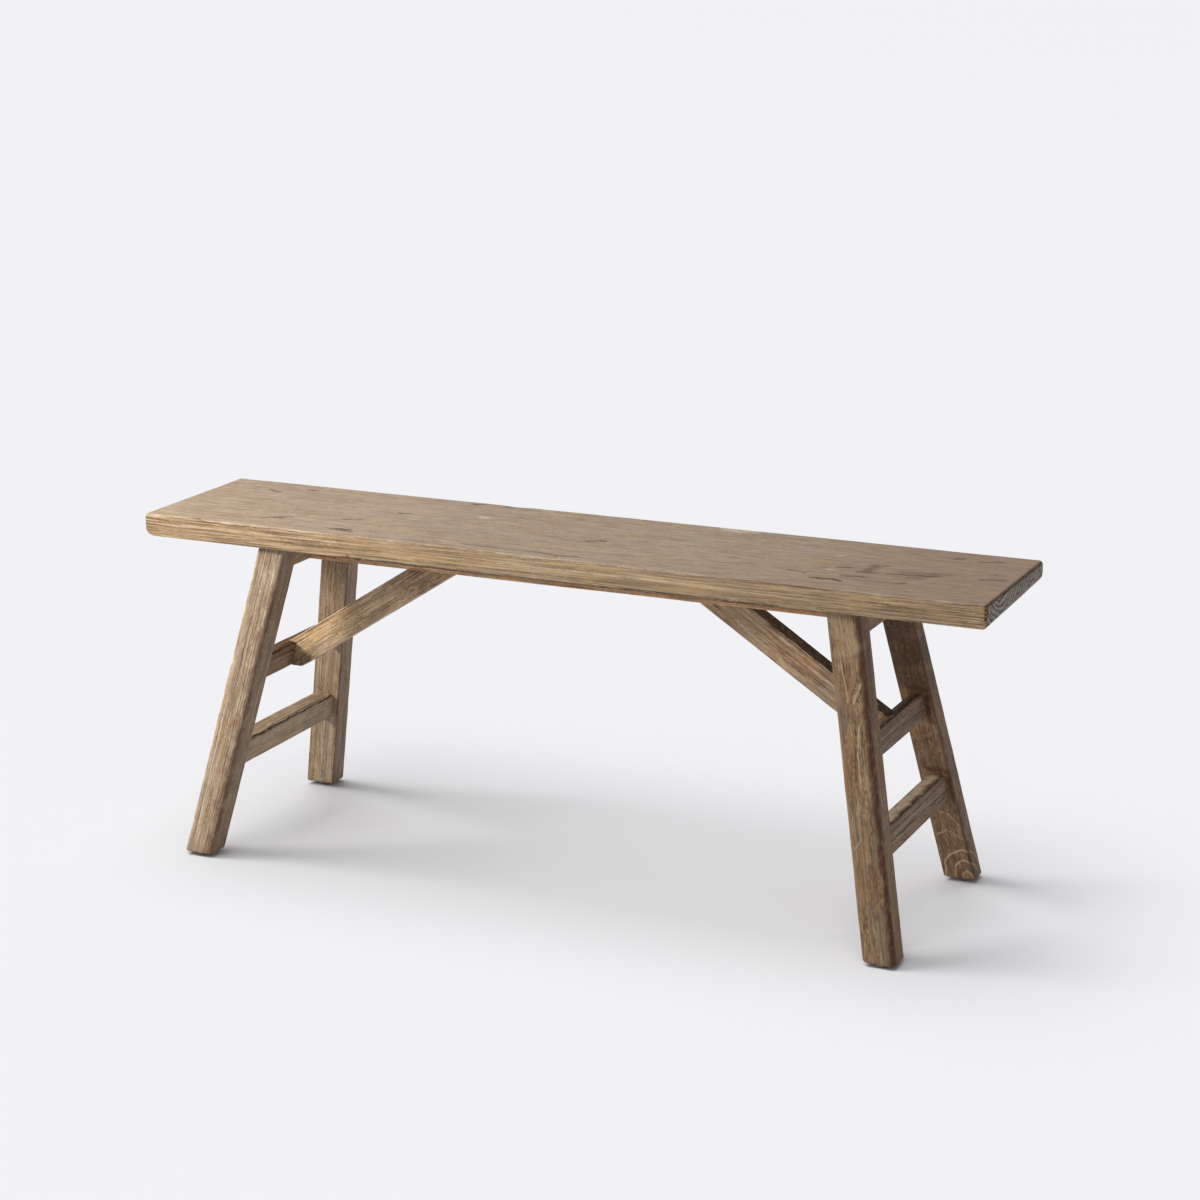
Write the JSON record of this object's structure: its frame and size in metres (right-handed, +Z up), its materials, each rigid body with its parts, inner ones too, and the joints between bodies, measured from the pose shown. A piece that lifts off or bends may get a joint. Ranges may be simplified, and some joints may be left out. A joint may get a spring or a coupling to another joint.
{
  "type": "bench",
  "caption": "Rustic solid-wood bed-end bench: thick plank seat on splayed squared legs, end frames with stretchers, centre rail and slanting braces.",
  "frame": {"origin": "on the floor, below the middle of the seat", "axes": "+X along the seat to the right end, +Y to the back, +Z up"},
  "size_m": [1.2, 0.374, 0.464],
  "materials": {
    "seat_wood": "brushed, weathered grey-brown old wood, dull wax, with knots and worn edges",
    "frame_wood": "brushed old wood, warm brown, open grain, dull wax",
    "glide_plastic": "dark matte moulded plastic",
    "screw_steel": "zinc-plated steel"
  },
  "bodies": {
    "root": {"seat_plank": "seat_wood", "centre_rail": "frame_wood", "left_cross_rail": "frame_wood", "right_cross_rail": "frame_wood", "left_upper_stretcher": "frame_wood", "right_upper_stretcher": "frame_wood", "left_lower_stretcher": "frame_wood", "right_lower_stretcher": "frame_wood", "left_brace": "frame_wood", "right_brace": "frame_wood", "front_left_leg": "frame_wood", "front_right_leg": "frame_wood", "back_left_leg": "frame_wood", "back_right_leg": "frame_wood", "front_left_glide": "glide_plastic", "front_right_glide": "glide_plastic", "back_left_glide": "glide_plastic", "back_right_glide": "glide_plastic", "seat_screws": "screw_steel", "brace_head_screws": "screw_steel", "brace_foot_screws": "screw_steel"}
  },
  "joints": []
}
